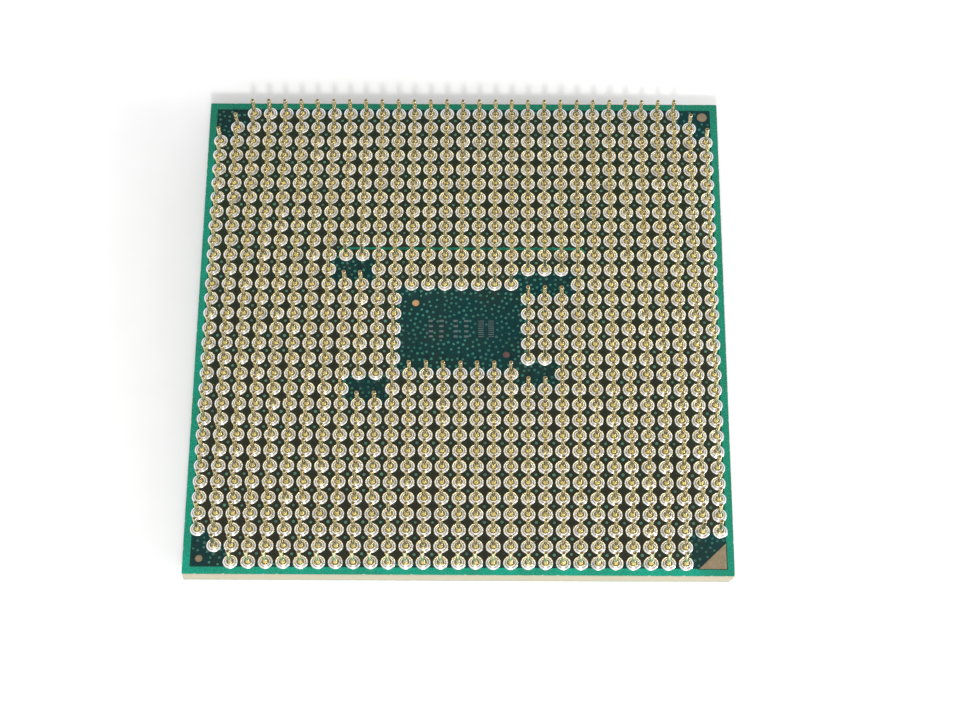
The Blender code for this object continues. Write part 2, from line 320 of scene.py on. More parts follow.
def mask_over_laminate_look():
    """Bright green mask, with painted shade towards the far side and the right side, worn to pale
    chips along the body's edge.
    """
    look = Look("mask_over_laminate", IOR=1.5)
    cloud = look.noise(1.7 * MM, 4.0)
    share = look.spread(cloud, 0.35, 0.65)
    green = look.blend(share, (0.008, 0.265, 0.178), (0.012, 0.207, 0.131))
    # Painted shade: the mask darkens towards the far side and towards the right side.
    far = look.spread(look.axis("Y"), 10 * MM, 20 * MM, 0.0, 0.8)
    right = look.spread(look.axis("X"), 17 * MM, 19.5 * MM, 0.0, 0.6)
    green = look.blend(look.maths("MAXIMUM", far, right), green, (0.012, 0.150, 0.088))
    weave = look.noise(0.12 * MM, 3.0)
    green = look.blend(look.spread(weave, 0.5, 0.8, 0.0, 0.25), green, (0.030, 0.36, 0.27))
    near_edge = look.spread(edge_distance(look), 0.02 * MM, 0.14 * MM, 1.0, 0.0)
    chips = look.maths("MULTIPLY", near_edge, look.noise(0.35 * MM, 4.0))
    look.colour(look.blend(look.spread(chips, 0.56, 0.60), green, (0.45, 0.60, 0.48)))
    look.rough_by(weave, 0.20, 0.34)
    look.bump(weave, 5 * MICRON, 0.5)
    return look.material


def vent_dot_look(name, green, dull):
    """Mask over the small holes in the copper plane, greener in some than in others."""
    look = Look(name, IOR=1.5)
    dim = look.spread(look.noise(4.0 * MM, 4.0), 0.38, 0.62)
    look.colour(look.blend(dim, green, dull))
    look.rough_by(look.noise(0.1 * MM), 0.3, 0.45)
    return look.material


def rim_look():
    """Dark mask heaped up at the edge of an opening."""
    look = Look("mask_rim", IOR=1.5)
    lumps = look.noise(0.1 * MM, 3.0)
    look.colour(look.blend(lumps, (0.006, 0.012, 0.010), (0.020, 0.030, 0.026)))
    look.rough_by(lumps, 0.25, 0.4)
    return look.material


def slot_look():
    """Mask over the bare line that splits the copper plane."""
    look = Look("mask_in_slot", IOR=1.5)
    cloud = look.spread(look.noise(0.8 * MM, 4.0), 0.35, 0.65)
    look.colour(look.blend(cloud, (0.010, 0.200, 0.130), (0.010, 0.140, 0.092)))
    look.rough_by(look.noise(0.1 * MM), 0.2, 0.34)
    return look.material


def bare_mark_look(name, fresh, rubbed_tone, stain_tone):
    """Bare metal of a mark, rubbed along Y and stained in places."""
    look = Look(name, Metallic=0.35)
    rubbed = look.noise(0.09 * MM, 4.0, squeeze=(1.0, 0.35, 1.0))
    tone = look.blend(look.spread(rubbed, 0.3, 0.7), fresh, rubbed_tone)
    stain = look.spread(look.noise(0.6 * MM, 3.0), 0.5, 0.7, 0.0, 0.7)
    look.colour(look.blend(stain, tone, stain_tone))
    look.rough_by(rubbed, 0.42, 0.62)
    look.bump(rubbed, 4 * MICRON, 0.6)
    return look.material


def laminate_look():
    """The cut sides of the laminate: a thick core between thin build-up layers."""
    look = Look("laminate", Specular_IOR_Level=0.3)
    fibres = look.noise(0.14 * MM, 4.0, squeeze=(1.0, 1.0, 4.0))
    cream = look.blend(fibres, (0.405, 0.37, 0.265), (0.485, 0.45, 0.345))
    height = look.axis("Z")
    thickness = CORE_HIGH.z - CORE_LOW.z
    middle = (CORE_HIGH.z + CORE_LOW.z) / 2
    off_middle = look.maths("ABSOLUTE", look.maths("SUBTRACT", height, middle))
    outer = look.spread(off_middle, 0.30 * thickness, 0.34 * thickness)
    cream = look.blend(look.maths("MULTIPLY", outer, 0.55), cream, (0.38, 0.345, 0.24))
    layers = look.node("ShaderNodeTexWave", {
        "Vector": look.place(), "Scale": 1.0 / (2.2 * MM), "Distortion": 1.5, "Detail": 2.0,
    }, bands_direction="Z").outputs["Fac"]
    line = look.spread(layers, 0.90, 0.98, 0.0, 0.35)
    look.colour(look.blend(line, cream, (0.45, 0.36, 0.22)))
    look.rough_by(fibres, 0.55, 0.75)
    look.bump(fibres, 10 * MICRON, 0.6)
    return look.material


def nickel_look():
    look = Look("nickel_plate", Metallic=1.0)
    cloud = look.noise(5.0 * MM, 3.0)
    look.colour(look.blend(cloud, (0.54, 0.52, 0.49), (0.46, 0.445, 0.43)))
    lines = look.noise(0.10 * MM, 2.0, squeeze=(0.05, 1.0, 1.0))
    blotch = look.spread(look.noise(1.2 * MM, 4.0), 0.3, 0.7, 0.26, 0.40)
    look.roughness(look.maths("ADD", blotch, look.spread(lines, 0.3, 0.7, -0.04, 0.06)))
    look.bump(lines, 2 * MICRON, 0.5)
    look.bump(look.noise(0.4 * MM, 3.0), 6 * MICRON, 0.3)
    return look.material


def sealant_look():
    return grained_look(
        "sealant", grain=(0.3 * MM, 3.0), tones=((0.030, 0.030, 0.032), (0.075, 0.075, 0.080)),
        rough=(0.45, 0.65), relief=15 * MICRON,
    )


def thermal_solder_look():
    distortion = 1.0
    return grained_look(
        "thermal_solder", grain=(0.5 * MM, 5.0, EVENLY, distortion),
        tones=((0.72, 0.73, 0.74), (0.55, 0.56, 0.58)),
        rough=(0.3, 0.5), relief=8 * MICRON, Metallic=1.0,
    )


def silicon_look():
    look = Look("silicon", Metallic=0.7)
    haze = look.noise(1.5 * MM, 3.0)
    look.colour(look.blend(haze, (0.10, 0.11, 0.14), (0.17, 0.18, 0.21)))
    look.rough_by(haze, 0.08, 0.18)
    ground = look.noise(0.06 * MM, 2.0, squeeze=(0.1, 1.0, 1.0))
    look.bump(ground, 1 * MICRON, 0.4)
    return look.material


def underfill_look():
    return grained_look(
        "underfill", grain=(0.08 * MM, 4.0),
        tones=((0.010, 0.012, 0.018), (0.030, 0.034, 0.045)),
        rough=(0.25, 0.42), relief=4 * MICRON, strength=0.5, Coat_Weight=0.3,
    )


def ceramic_look():
    return grained_look(
        "capacitor_ceramic", grain=(0.05 * MM, 4.0),
        tones=((0.30, 0.20, 0.12), (0.40, 0.29, 0.19)),
        rough=(0.4, 0.6), relief=4 * MICRON, Specular_IOR_Level=0.4,
    )


def terminal_look():
    return grained_look(
        "capacitor_terminal", grain=(0.07 * MM, 3.0),
        tones=((0.78, 0.77, 0.75), (0.62, 0.61, 0.60)),
        rough=(0.3, 0.5), relief=5 * MICRON, Metallic=1.0,
    )


def ink_look():
    """Thin grey marking ink, worn so that the mask shows through it."""
    look = Look("marking_ink")
    worn = look.spread(look.noise(0.07 * MM, 3.0), 0.40, 0.62)
    look.colour(look.blend(worn, (0.125, 0.150, 0.145), (0.035, 0.075, 0.070)))
    look.roughness(look.spread(worn, 0.0, 1.0, 0.55, 0.4))
    return look.material


# ---------------------------------------------------------------- mesh building


def new_object(name, mesh):
    obj = bpy.data.objects.new(name, mesh)
    bpy.context.scene.collection.objects.link(obj)
    return obj


def from_bmesh(name, bm):
    bmesh.ops.recalc_face_normals(bm, faces=bm.faces)
    mesh = bpy.data.meshes.new(name)
    bm.to_mesh(mesh)
    bm.free()
    return new_object(name, mesh)


def smooth(obj, angle=35):
    """Shades obj smooth, apart from edges that turn by more than `angle` degrees."""
    obj.data.shade_smooth()
    obj.data.set_sharp_from_angle(angle=math.radians(angle))


def finished(obj, slot, *materials, replaces=()):
    """A piece of the part: its materials, the body that it rides on, and the CAD parts that it
    hides.
    """
    for material in materials:
        obj.data.materials.append(material)
    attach(obj, "root")
    if replaces:
        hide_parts(*replaces)
    return obj


def bevel(bm, edges, width, segments):
    bmesh.ops.bevel(
        bm, geom=edges, offset=width, segments=segments, profile=0.5, affect="EDGES"
    )


def block_mesh(width, depth, height, corner_radius=0.0, segments=6):
    """A block standing on z = 0, centred in plan, with its upright edges rounded."""
    bm = bmesh.new()
    bmesh.ops.create_cube(bm, size=1.0, matrix=Matrix.Translation((0, 0, 0.5)))
    bmesh.ops.scale(bm, vec=(width, depth, height), verts=bm.verts)
    if corner_radius:
        upright = [e for e in bm.edges if abs(e.verts[0].co.z - e.verts[1].co.z) > height / 2]
        bevel(bm, upright, corner_radius, segments)
    return bm


def bevel_rim(bm, end, width, segments=2):
    """Rounds the edges of a block's lowest face, where end is min, or its highest, max."""
    level = end(v.co.z for v in bm.verts)
    rim = [e for e in bm.edges if all(abs(v.co.z - level) < MICRON / 10 for v in e.verts)]
    bevel(bm, rim, width, segments)


def placed(bm, x=0.0, y=0.0, z=0.0):
    bmesh.ops.translate(bm, vec=(x, y, z), verts=bm.verts)
    return bm


def combine(obj, tools, operation):
    """Applies one Boolean to obj for each tool and removes the tools."""
    for tool in tools:
        modifier = obj.modifiers.new(operation, "BOOLEAN")
        modifier.operation = operation
        modifier.solver = "EXACT"
        modifier.object = tool
    evaluated = obj.evaluated_get(bpy.context.evaluated_depsgraph_get())
    mesh = bpy.data.meshes.new_from_object(evaluated)
    obj.modifiers.clear()
    obj.data = mesh
    for tool in tools:
        bpy.data.objects.remove(tool, do_unlink=True)


def turned(profile, sides):
    """Vertices and faces of a closed solid, turned from (radius, height) points that run up
    its outside. The last two faces close its lower and its upper end."""
    turn = [math.tau * k / sides for k in range(sides)]
    verts = [(r * math.cos(a), r * math.sin(a), z) for r, z in profile for a in turn]
    faces = []
    for ring in range(len(profile) - 1):
        for k in range(sides):
            after = (k + 1) % sides
            low = ring * sides
            faces.append((low + k, low + after, low + sides + after, low + sides + k))
    faces.append(tuple(reversed(range(sides))))
    last = (len(profile) - 1) * sides
    faces.append(tuple(range(last, last + sides)))
    return np.array(verts), faces


def repeated(name, copies, faces, material_of_face=None):
    """One mesh from several vertex arrays that share the same faces."""
    count = len(copies[0])
    verts = np.concatenate(copies)
    all_faces = [tuple(i + n * count for i in face) for n in range(len(copies)) for face in faces]
    mesh = bpy.data.meshes.new(name)
    mesh.from_pydata(verts.tolist(), [], all_faces)
    if material_of_face is not None:
        mesh.polygons.foreach_set("material_index", list(material_of_face) * len(copies))
    mesh.update()
    return new_object(name, mesh)


def lofted(name, rings):
    """A closed solid through rings of points, with a flat face on its first and its last."""
    bm = bmesh.new()
    loops = [[bm.verts.new(point) for point in ring] for ring in rings]
    for low, high in zip(loops, loops[1:]):
        for k in range(len(low)):
            after = (k + 1) % len(low)
            bm.faces.new((low[k], low[after], high[after], high[k]))
    bm.faces.new(loops[0])
    bm.faces.new(reversed(loops[-1]))
    return from_bmesh(name, bm)


def rounded_square(half, radius, share):
    """A point and its outward direction on a square with round corners, share from 0 to 1
    round it, starting in the middle of the far side and going clockwise."""
    straight = half - radius
    quarter = math.pi * radius / 2
    side = 2 * straight + quarter
    whole = 4 * side
    run = (share * whole + straight) % whole
    number, on_side = divmod(run, side)
    turn = Matrix.Rotation(-number * math.pi / 2, 2)
    if on_side <= 2 * straight:
        point, outward = Vector((on_side - straight, half)), Vector((0, 1))
    else:
        angle = math.pi / 2 - (on_side - 2 * straight) / radius
        outward = Vector((math.cos(angle), math.sin(angle)))
        point = Vector((straight, straight)) + radius * outward
    return turn @ point, turn @ outward


# ---------------------------------------------------------------- pins and solder joints


def in_mm(profile):
    """A profile's points in metres, from (radius, height) in millimetres."""
    return [(radius * MM, height * MM) for radius, height in profile]


def pin_profile():
    """A headed pin above the mask: wide foot, plain shaft, rounded end with a dimple."""
    length = PIN_TOP - PIN_SIDE
    shoulder = 0.045 * MM
    flat_top = PIN_RADIUS - shoulder
    foot = [(0.261, 0.080), (0.259, 0.097), (0.253, 0.099), (0.168, 0.100), (0.160, 0.103),
            (0.1545, 0.112), (0.1525, 0.130)]
    rounded_end = [
        (flat_top + shoulder * math.cos(a), length - shoulder + shoulder * math.sin(a))
        for a in np.radians(np.linspace(0, 80, 4))
    ]
    dimple = [(0.090 * MM, length - 0.006 * MM), (0.060 * MM, length - 0.030 * MM)]
    return in_mm(foot) + rounded_end + dimple


def joint_profile():
    """The solder on one pad: a sloping rim, a groove round the pin's head, and the head."""
    rim = [(0.540, 0.0), (0.537, 0.007), (0.530, 0.011), (0.420, 0.067), (0.411, 0.070),
           (0.402, 0.071)]
    groove = [(0.396, 0.069), (0.390, 0.067), (0.366, 0.067), (0.360, 0.069)]
    head = [(0.354, 0.073), (0.296, 0.103), (0.289, 0.105), (0.282, 0.105)]
    cup = [(0.275, 0.103), (0.269, 0.098), (0.263, 0.095), (0.170, 0.094)]
    return in_mm(rim + groove + head + cup)


def pin_sites(node):
    """Centre of each pin of a CAD pin row, read from the flat tops of its square pins."""
    low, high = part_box(node)
    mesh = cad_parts[node].data
    tops = {round(v.co.x / PITCH) for v in mesh.vertices if v.co.z > high.z - MICRON}
    return [(column * PITCH, (low.y + high.y) / 2) for column in sorted(tops)]


def tilted(verts, draw, most_degrees):
    """Verts leaning at random, seldom by more than most_degrees."""
    lean = draw.gauss(0, most_degrees / 2)
    turn = Matrix.Rotation(math.radians(lean), 3, Vector((draw.gauss(0, 1), draw.gauss(0, 1), 0)))
    return verts @ np.array(turn).T


def make_pin_row(node, gold, pin_end):
    """The round pins of one row, none of which stands above the CAD's top."""
    draw = random.Random(node)
    profile = pin_profile()
    verts, faces = turned(profile, PIN_SIDES)
    lower_end = len(faces) - 2
    cut_end_from = lower_end - END_RINGS * PIN_SIDES
    of_face = [int(n >= cut_end_from and n != lower_end) for n in range(len(faces))]
    highest = (math.inf, math.inf, PIN_TOP - PIN_SIDE)
    copies = []
    for x, y in pin_sites(node):
        copy = np.minimum(tilted(verts, draw, PIN_LEAN), highest)
        copies.append(copy + (x, y, PIN_SIDE))
    pins = repeated("pins_" + node[len("pin_row_"):], copies, faces, of_face)
    smooth(pins, 40)
    finished(pins, "gold_pins", gold, pin_end, replaces=[node])


def wavy(verts, draw, share):
    """Verts outside the pin's head, pushed in and out in a few waves round the axis."""
    angle = np.arctan2(verts[:, 1], verts[:, 0])
    radius = np.hypot(verts[:, 0], verts[:, 1])
    push = np.zeros(len(verts))
    for waves in (1, 2, 3, 5):
        push += draw.gauss(0, share / waves) * np.cos(waves * angle + draw.uniform(0, math.tau))
    outer = np.clip((radius - HEAD_RADIUS) / (JOINT_RADIUS - HEAD_RADIUS), 0, 1)
    scale = 1 + push * outer
    return verts * np.stack([scale, scale, np.ones(len(verts))], axis=1)


def make_joint_row(node, solder):
    """The solder joints of one row, each a little different."""
    draw = random.Random("joints " + node)
    verts, faces = turned(joint_profile(), JOINT_SIDES)
    copies = []
    for x, y in pin_sites(node):
        swell = 1 + draw.gauss(0, JOINT_SWELL)
        copy = wavy(verts, draw, JOINT_WAVE) * (1, 1, swell)
        spin = Matrix.Rotation(draw.uniform(0, math.tau), 3, "Z")
        copies.append(copy @ np.array(spin).T + (x, y, PIN_SIDE))
    joints = repeated("solder_joints_" + node[len("pin_row_"):], copies, faces)
    smooth(joints, 50)
    finished(joints, "solder", solder)


# ---------------------------------------------------------------- substrate


def cut_chipped_corner(bm):
    """Cuts the chip off the lower part of the body's corner at +X, -Y."""
    wide = 0.37 * MM
    high = 0.85 * MM
    corner = Vector((BODY / 2, -BODY / 2, UNDER_MASK_LOW.z))
    outward = Vector((1 / wide, -1 / wide, -1 / high)).normalized()
    cut = bmesh.ops.bisect_plane(
        bm, geom=[*bm.verts, *bm.edges, *bm.faces], plane_co=corner + Vector((0, 0, high)),
        plane_no=outward, clear_outer=True,
    )
    rim = [e for e in cut["geom_cut"] if isinstance(e, bmesh.types.BMEdge)]
    bmesh.ops.contextual_create(bm, geom=rim)


def make_core(laminate):
    """The laminate, with softened corners and a chip off one lower corner."""
    height = CORE_HIGH.z - CORE_LOW.z
    bm = placed(block_mesh(BODY, BODY, height, BODY_CORNER), z=CORE_LOW.z)
    cut_chipped_corner(bm)
    core = from_bmesh("laminate_core", bm)
    finished(core, "laminate", laminate, replaces=["substrate_core"])


def make_lid_side_mask(over_laminate):
    """The mask on the hidden side, chipped with the laminate."""
    height = UNDER_MASK_HIGH.z - UNDER_MASK_LOW.z
    bm = block_mesh(BODY, BODY, height, BODY_CORNER)
    bevel_rim(bm, min, MASK_EDGE)
    placed(bm, z=UNDER_MASK_LOW.z)
    cut_chipped_corner(bm)
    mask = from_bmesh("solder_mask_under", bm)
    finished(mask, "solder_mask", over_laminate, replaces=["solder_mask_lid_side"])


def disc_mesh(x, y, radius, floor, top):
    bm = bmesh.new()
    bmesh.ops.create_cone(
        bm, cap_ends=True, segments=DISC_SIDES, radius1=radius, radius2=radius,
        depth=top - floor,
    )
    return placed(bm, x, y, (floor + top) / 2)


def triangle_mesh(grown, floor, top):
    """The marked corner's triangle, with each side moved out by `grown`."""
    right = TRIANGLE_HIGH.x + grown
    near = TRIANGLE_LOW.y - grown
    leg = TRIANGLE_HIGH.x - TRIANGLE_LOW.x + (2 + math.sqrt(2)) * grown
    bm = bmesh.new()
    corners = [(right, near), (right, near + leg), (right - leg, near)]
    face = bm.faces.new([bm.verts.new((x, y, floor)) for x, y in corners])
    lifted = bmesh.ops.extrude_face_region(bm, geom=[face])["geom"]
    risen = [v for v in lifted if isinstance(v, bmesh.types.BMVert)]
    bmesh.ops.translate(bm, vec=(0, 0, top - floor), verts=risen)
    return bm


def mark_mesh(node, grown, floor, top):
    """A prism in the shape of a bare mark, with each side moved out by `grown`."""
    if node == "corner_triangle":
        return triangle_mesh(grown, floor, top)
    low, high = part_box(node)
    middle = (low + high) / 2
    radius = (high.x - low.x) / 2 + grown
    return disc_mesh(middle.x, middle.y, radius, floor, top)


def make_pin_side_mask(over_copper, over_laminate):
    """The mask, one skin that steps up where the copper plane lies under it."""
    low = MASK_LOW.z
    border_top = PIN_SIDE - COPPER_STEP
    skirt = block_mesh(BODY, BODY, border_top - low, BODY_CORNER)
    bevel_rim(skirt, max, MASK_EDGE)
    mask = from_bmesh("solder_mask", placed(skirt, z=low))
    plane = BODY - 2 * BORDER
    plane_corner = 0.06 * MM
    step_edge = 6 * MICRON
    sunk = 2 * MICRON  # keeps the raised part's underside inside the skirt
    plateau = block_mesh(plane, plane, PIN_SIDE - low - sunk, plane_corner)
    bevel_rim(plateau, max, step_edge)
    combine(mask, [from_bmesh("plateau", placed(plateau, z=low + sunk))], "UNION")
    margin = 0.2 * MM
    openings = [
        mark_mesh(node, OPENING_GAP, low - margin, PIN_SIDE + margin) for node in MARK_NODES
    ]
    combine(mask, [from_bmesh("opening", bm) for bm in openings], "DIFFERENCE")
    for polygon in mask.data.polygons:
        inside = max(abs(polygon.center.x), abs(polygon.center.y)) < plane / 2
        raised = polygon.center.z > border_top + MICRON
        polygon.material_index = 0 if inside and raised else 1
    finished(mask, "solder_mask", over_copper, over_laminate,
             replaces=["solder_mask_pin_side"])


def make_mark_rims(look):
    """Dark rims of the openings round the bare marks."""
    low = PIN_SIDE - MARK_HEIGHT
    high = PIN_SIDE + MARK_HEIGHT
    margin = 20 * MICRON
    rims = []
    for node in MARK_NODES:
        rim = from_bmesh("rim", mark_mesh(node, OPENING_GAP + RIM_WIDTH, low, high))
        hole = mark_mesh(node, OPENING_GAP, low - margin, high + margin)
        combine(rim, [from_bmesh("hole", hole)], "DIFFERENCE")
        rims.append(rim)
    whole = rims[0]
    combine(whole, rims[1:], "UNION")
    whole.name = "mark_rims"
    finished(whole, "solder_mask", look)


def all_sites():
    return [site for node in PIN_NODES for site in pin_sites(node)]


def slot_points():
    """The line that splits the copper plane on the far side of the gaps, and its bent ends."""
    y = 5.45 * PITCH
    end = 7.2 * PITCH
    bend = 0.27 * MM
    return [(-end - bend, y - bend), (-end, y), (end, y), (end + bend, y - bend)]


def distance_to_slot(spot):
    """How far a spot is from the middle of the line that splits the copper plane."""
    best = math.inf
    points = [Vector(point) for point in slot_points()]
    for start, end in zip(points, points[1:]):
        along = end - start
        share = (spot - start).dot(along) / along.length_squared
        share = max(0.0, min(1.0, share))
        best = min(best, (spot - start - share * along).length)
    return best


def between_four(centre, pads):
    """Whether a pad stands on each of the four corners of a grid cell."""
    to_corner = 0.75 * PITCH  # a little over half of the cell's diagonal
    return (np.hypot(*(pads - centre).T) < to_corner).sum() == 4


def full_cells():
    """Centres of the grid cells that stand between four pads."""
    pads = np.array(all_sites())
    steps = [(n + 0.5) * PITCH for n in range(-HALF_GRID, HALF_GRID)]
    return [(x, y) for y in steps for x in steps if between_four((x, y), pads)]


def make_painted_shade_film(look):
    """A film of painted shade and painted reflection over the grid cells that stand between four
    pads.
    """
    top = 0.4 * MARK_HEIGHT
    reach = PITCH / 2
    corners = [(-reach, -reach), (reach, -reach), (reach, reach), (-reach, reach)]
    verts = np.array([(x, y, z) for z in (-top, top) for x, y in corners])
    faces = [(0, 3, 2, 1), (4, 5, 6, 7)]
    faces += [(k, (k + 1) % 4, 4 + (k + 1) % 4, 4 + k) for k in range(4)]
    copies = [verts + (x, y, PIN_SIDE) for x, y in full_cells()]
    film = repeated("painted_shade_between_pads", copies, faces)
    finished(film, "solder_mask", look)


def in_marks(spot):
    """Whether a spot is on the ink marks, or close to them."""
    if abs(spot.y) > MARKS_HALF_HEIGHT + INK_ROOM[1]:
        return False
    return any(abs(spot.x - x) < width / 2 + INK_ROOM[0] for x, _, width, _ in MARK_COLUMNS)


def vent_dots():
    """Centre and radius of each vent hole: those between four pads, and then a loose spread
    of them where pads are missing."""
    draw = random.Random(4)
    pads = np.array(all_sites())
    fiducials = [((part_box(n)[0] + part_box(n)[1]) / 2).to_2d() for n in FIDUCIAL_NODES]
    between = []
    for centre in full_cells():
        if draw.random() < VENT_SHARE:
            x, y = (value + draw.gauss(0, VENT_SHIFT) for value in centre)
            between.append((x, y, draw.uniform(*VENT_RADII)))
    loose = []

    def has_room(x, y):
        spot = Vector((x, y))
        cell = (np.floor(np.array((x, y)) / PITCH) + 0.5) * PITCH
        from_corner = (TRIANGLE_HIGH.x - x) + (y - TRIANGLE_LOW.y)
        return not (
            between_four(cell, pads)
            or np.hypot(*(pads - (x, y)).T).min() < JOINT_RADIUS + PAD_ROOM
            or any((spot - fiducial).length < FIDUCIAL_ROOM for fiducial in fiducials)
            or from_corner < TRIANGLE_ROOM
            or distance_to_slot(spot) < SLOT_ROOM
            or in_marks(spot)
            or any(math.hypot(x - a, y - b) <= VENT_ROOM for a, b, _ in between + loose)
        )

    reach = BODY / 2 - BORDER - 0.16 * MM
    for _ in range(LOOSE_VENT_TRIES):
        x = draw.uniform(-reach, reach)
        y = draw.uniform(-reach, reach)
        if has_room(x, y):
            loose.append((x, y, draw.uniform(*LOOSE_VENT_RADII)))
    return between, loose


def make_vent_dots(name, holes, look):
    """A flat lens over each vent hole in the copper."""
    top = MARK_HEIGHT
    profile = [(1.0, -top), (1.0, top / 2), (0.8, top)]  # radii as shares of the hole's
    verts, faces = turned(profile, VENT_SIDES)
    copies = [verts * (radius, radius, 1.0) + (x, y, PIN_SIDE) for x, y, radius in holes]
    dots = repeated(name, copies, faces)
    smooth(dots)
    finished(dots, "solder_mask", look)


def add_strip(bm, start, end, width):
    """Adds a thin bar with rounded ends, which runs half its width past start and end."""
    along = Vector(end) - Vector(start)
    corner = 0.45 * width
    piece = block_mesh(along.length + width, width, 2 * MARK_HEIGHT, corner)
    turn = Matrix.Rotation(math.atan2(along.y, along.x), 4, "Z")
    middle = (Vector(start) + Vector(end)) / 2
    move = Matrix.Translation((middle.x, middle.y, PIN_SIDE - MARK_HEIGHT)) @ turn
    bmesh.ops.transform(piece, matrix=move, verts=piece.verts)
    mesh = bpy.data.meshes.new("strip")
    piece.to_mesh(mesh)
    piece.free()
    bm.from_mesh(mesh)
    bpy.data.meshes.remove(mesh)


def make_plane_slot(look):
    """A green line over the slot that splits the copper plane."""
    points = slot_points()
    parts = []
    for start, end in zip(points, points[1:]):
        bm = bmesh.new()
        add_strip(bm, start, end, SLOT_WIDTH)
        parts.append(from_bmesh("slot_part", bm))
    slot = parts[0]
    combine(slot, parts[1:], "UNION")
    slot.name = "copper_plane_slot"
    finished(slot, "solder_mask", look)


def make_ink_marks(look):
    """Plain bars in columns, which say nothing."""
    bm = bmesh.new()
    draw = random.Random(9)
    unevenness = 0.012 * MM
    for x, count, width, ink in MARK_COLUMNS:
        thick = ink * MARKS_HALF_HEIGHT * 2 / count
        half = (width - thick) / 2
        for n in range(count):
            y = MARKS_HALF_HEIGHT * (1 - 2 * n / (count - 1))
            shift = draw.gauss(0, unevenness)
            add_strip(bm, (x - half + shift, y), (x + half + shift, y), thick)
    marks = from_bmesh("ink_marks", bm)
    finished(marks, "solder_mask", look)


# ---------------------------------------------------------------- lid, seal and what they hold


def make_lid(nickel):
    """The lid, with a rounded outer rim, a softened seal rim and a pocket for the die."""
    width = LID_HIGH.x - LID_LOW.x
    height = LID_HIGH.z - LID_LOW.z
    corner = 1.2 * MM
    outer_rim = 0.25 * MM
    seal_rim = 0.05 * MM
    block = block_mesh(width, width, height, corner, segments=10)
    bevel_rim(block, min, outer_rim, segments=5)
    bevel_rim(block, max, seal_rim)
    lid = from_bmesh("heat_spreader", placed(block, z=LID_LOW.z))
    pocket_width = 29.4 * MM
    pocket_corner = 2.0 * MM
    pocket_depth = 0.9 * MM
    spare = 0.5 * MM  # how far the cutter stands out of the pocket
    pocket = block_mesh(
        pocket_width, pocket_width, pocket_depth + spare, pocket_corner, segments=8
    )
    cutter = from_bmesh("pocket", placed(pocket, z=LID_HIGH.z - pocket_depth))
    combine(lid, [cutter], "DIFFERENCE")
    smooth(lid, 30)
    finished(lid, "lid_metal", nickel, replaces=["heat_spreader_lid"])


def make_seal(sealant):
    """A bead of adhesive with uneven edges, open in the middle of its far side."""
    bead = 2.4 * MM
    unevenness = 0.10 * MM
    margin = 0.12 * MM  # keeps the uneven edges inside the bead's width
    half_vent = 1.5 * MM
    corner = 1.6 * MM
    steps = 360
    middle = SEAL_HIGH.x - bead / 2
    height = SEAL_HIGH.z - SEAL_LOW.z
    draw = random.Random(12)
    waves = [
        (number, draw.gauss(0, unevenness), draw.uniform(0, math.tau))
        for number in (5, 9, 17, 31, 53)
    ]
    vent = half_vent / (8 * middle)  # as a share of the way round
    # Points of the bead's section, as shares of its half width and its height
    section = [(-1.0, 0.0), (-1.06, 0.5), (-1.0, 1.0), (1.0, 1.0), (1.06, 0.5), (1.0, 0.0)]
    rings = []
    for step in range(steps + 1):
        share = vent + (1 - 2 * vent) * step / steps
        point, outward = rounded_square(middle, corner, share)
        wobble = sum(
            size * math.sin(number * math.tau * share + phase) / 2
            for number, size, phase in waves
        )
        ring = []
        for across, up in section:
            reach = across * (bead / 2 - margin) + math.copysign(wobble, across)
            spot = point + reach * outward
            ring.append((spot.x, spot.y, SEAL_LOW.z + up * height))
        rings.append(ring)
    seal = lofted("seal_bead", rings)
    smooth(seal, 50)
    finished(seal, "sealant", sealant, replaces=["lid_seal"])


def make_underfill(epoxy):
    """Epoxy under the die, whose fillet curves up the die's sides."""
    corner = 0.05 * MM
    unit_corner = 0.02
    gap = 10 * MICRON
    lip = 0.05 * MM
    lip_flare = 0.04 * MM
    unevenness = 0.03 * MM
    start = 0.06 * MM  # from the die's side to where the fillet begins
    margin = 0.10 * MM  # keeps the uneven edge inside the CAD's
    steps = 8
    count = 96
    foot = UNDERFILL_HIGH.x - DIE_HIGH.x
    rise = DIE_HIGH.z - UNDERFILL_LOW.z
    draw = random.Random(3)
    phases = [draw.uniform(0, math.tau) for _ in range(3)]  # of 4, 7 and 10 waves

    def ring(grown, z, wobble=0.0):
        """Points at height z round the die, outside it by `grown`."""
        points = []
        for k in range(count):
            share = k / count
            unit, outward = rounded_square(1.0, unit_corner, share)
            wave = sum(
                math.sin((4 + 3 * n) * math.tau * share + phase)
                for n, phase in enumerate(phases)
            )
            spot = Vector((unit.x * (DIE_HIGH.x - corner), unit.y * (DIE_HIGH.y - corner)))
            spot += outward * (corner + grown + wobble * wave)
            points.append((spot.x, spot.y, z))
        return points

    rings = [
        ring(gap, DIE_HIGH.z + gap),
        ring(gap, UNDERFILL_LOW.z + lip),
        ring(gap + lip_flare, UNDERFILL_LOW.z),
    ]
    for n in range(1, steps + 1):
        turn = n / steps * math.pi / 2
        reach = start + (foot - margin - start) * (1 - math.cos(turn))
        height = UNDERFILL_LOW.z + rise * math.sin(turn)
        rings.append(ring(reach, min(height, DIE_HIGH.z), unevenness * n / steps))
    rings.append(ring(foot - margin, UNDERFILL_HIGH.z, unevenness))
    fill = lofted("underfill", rings)
    smooth(fill, 40)
    finished(fill, "underfill", epoxy, replaces=["die_underfill"])


